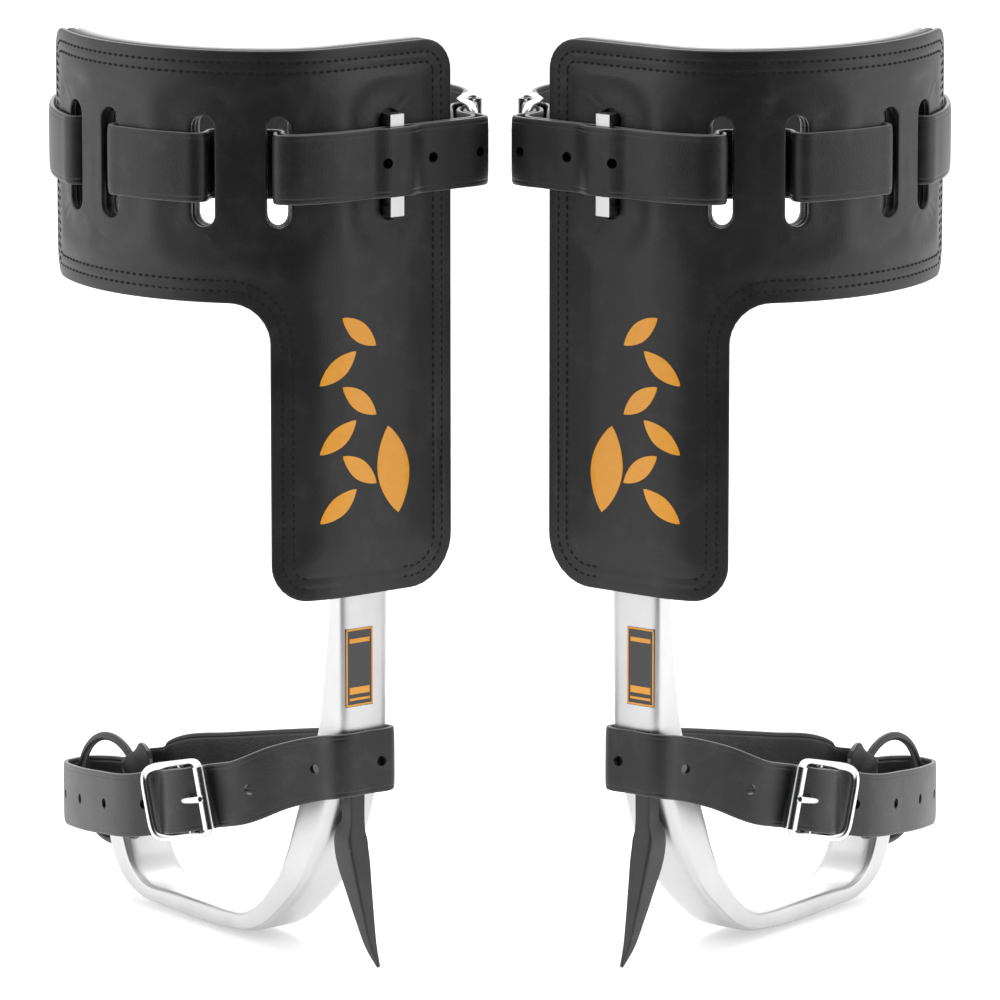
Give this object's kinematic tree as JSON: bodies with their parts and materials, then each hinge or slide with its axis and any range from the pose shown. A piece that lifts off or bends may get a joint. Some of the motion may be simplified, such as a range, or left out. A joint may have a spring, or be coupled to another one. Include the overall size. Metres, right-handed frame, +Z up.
{
  "type": "tree climbing spurs",
  "caption": "Tree climbing spurs: mirrored stirrups with steel gaffs, sliding leather calf pads, and calf and ankle straps with roller buckles.",
  "frame": {"origin": "midway between the two foot plates, at the height of their top faces", "axes": "+Z up along the shanks, +X from the left spur to the right one, +Y away from the front of the pair"},
  "size_m": [0.449, 0.2354, 0.4604],
  "materials": {
    "cast_aluminium": "satin",
    "plain_aluminium": "satin",
    "black_steel": "satin",
    "plated_steel": "satin",
    "chromed_wire": "polished",
    "pad_leather": "satin",
    "cushion_leather": "matte",
    "felt": "matte",
    "strap_leather": "satin",
    "label_film": "gloss"
  },
  "bodies": {
    "left_shank": {"left_shank": "cast_aluminium", "left_gaff": "black_steel", "left_gaff_screws": "plated_steel", "left_label": "label_film", "left_ankle_strap": "strap_leather", "left_buckle_strap": "strap_leather", "left_ankle_buckle": "chromed_wire", "left_ankle_rivets": "plated_steel"},
    "left_sleeve": {"left_sleeve": "plain_aluminium", "left_sleeve_bolts": "plated_steel", "left_sleeve_nuts": "plated_steel", "left_pad_front": "pad_leather", "left_pad_cushion": "cushion_leather", "left_pad_liner": "felt", "left_calf_strap": "strap_leather", "left_calf_buckle": "chromed_wire", "left_calf_rivets": "plated_steel"},
    "left_ring": {"left_ring": "black_steel"},
    "left_ankle_prong": {"left_ankle_prong": "chromed_wire"},
    "left_ankle_roller": {"left_ankle_roller": "chromed_wire"},
    "left_calf_prong": {"left_calf_prong": "chromed_wire"},
    "left_calf_roller": {"left_calf_roller": "chromed_wire"},
    "right_shank": {"right_shank": "cast_aluminium", "right_gaff": "black_steel", "right_gaff_screws": "plated_steel", "right_label": "label_film", "right_ankle_strap": "strap_leather", "right_buckle_strap": "strap_leather", "right_ankle_buckle": "chromed_wire", "right_ankle_rivets": "plated_steel"},
    "right_sleeve": {"right_sleeve": "plain_aluminium", "right_sleeve_bolts": "plated_steel", "right_sleeve_nuts": "plated_steel", "right_pad_front": "pad_leather", "right_pad_cushion": "cushion_leather", "right_pad_liner": "felt", "right_calf_strap": "strap_leather", "right_calf_buckle": "chromed_wire", "right_calf_rivets": "plated_steel"},
    "right_ring": {"right_ring": "black_steel"},
    "right_ankle_prong": {"right_ankle_prong": "chromed_wire"},
    "right_ankle_roller": {"right_ankle_roller": "chromed_wire"},
    "right_calf_prong": {"right_calf_prong": "chromed_wire"},
    "right_calf_roller": {"right_calf_roller": "chromed_wire"}
  },
  "joints": [
    {"name": "left_sleeve_slide", "type": "slide", "parent": "left_shank", "child": "left_sleeve", "axis": [0, 0, 1], "range_m": [-0.02, 0.04]},
    {"name": "left_ring_turn", "type": "hinge", "parent": "left_shank", "child": "left_ring", "pos_m": [-0.19915, 0.06706, 0.041], "axis": [0.7986, 0.6018, 0], "continuous": true},
    {"name": "left_ankle_prong_lift", "type": "hinge", "parent": "left_shank", "child": "left_ankle_prong", "pos_m": [-0.15562, -0.05502, 0.065], "axis": [0.1731, -0.169, -0.9703], "range_deg": [0, 10]},
    {"name": "left_ankle_roller_spin", "type": "hinge", "parent": "left_shank", "child": "left_ankle_roller", "pos_m": [-0.14606, -0.0744, 0.07008], "axis": [-0.1731, 0.169, 0.9703], "continuous": true},
    {"name": "left_calf_prong_lift", "type": "hinge", "parent": "left_sleeve", "child": "left_calf_prong", "pos_m": [-0.01953, -0.02923, 0.393], "axis": [0, 0, -1], "range_deg": [0, 4]},
    {"name": "left_calf_roller_spin", "type": "hinge", "parent": "left_sleeve", "child": "left_calf_roller", "pos_m": [-0.01233, -0.00823, 0.393], "axis": [0, 0, 1], "continuous": true},
    {"name": "right_sleeve_slide", "type": "slide", "parent": "right_shank", "child": "right_sleeve", "axis": [0, 0, 1], "range_m": [-0.02, 0.04]},
    {"name": "right_ring_turn", "type": "hinge", "parent": "right_shank", "child": "right_ring", "pos_m": [0.19915, 0.06706, 0.041], "axis": [-0.7986, 0.6018, 0], "continuous": true},
    {"name": "right_ankle_prong_lift", "type": "hinge", "parent": "right_shank", "child": "right_ankle_prong", "pos_m": [0.15562, -0.05502, 0.065], "axis": [0.1731, 0.169, 0.9703], "range_deg": [0, 10]},
    {"name": "right_ankle_roller_spin", "type": "hinge", "parent": "right_shank", "child": "right_ankle_roller", "pos_m": [0.14606, -0.0744, 0.07008], "axis": [0.1731, 0.169, 0.9703], "continuous": true},
    {"name": "right_calf_prong_lift", "type": "hinge", "parent": "right_sleeve", "child": "right_calf_prong", "pos_m": [0.01953, -0.02923, 0.393], "axis": [0, 0, 1], "range_deg": [0, 4]},
    {"name": "right_calf_roller_spin", "type": "hinge", "parent": "right_sleeve", "child": "right_calf_roller", "pos_m": [0.01233, -0.00823, 0.393], "axis": [0, 0, 1], "continuous": true},
    {"name": "pair_spacing_slide", "type": "slide", "parent": "left_shank", "child": "right_shank", "axis": [1, 0, 0], "range_m": [0, 0.12]}
  ]
}
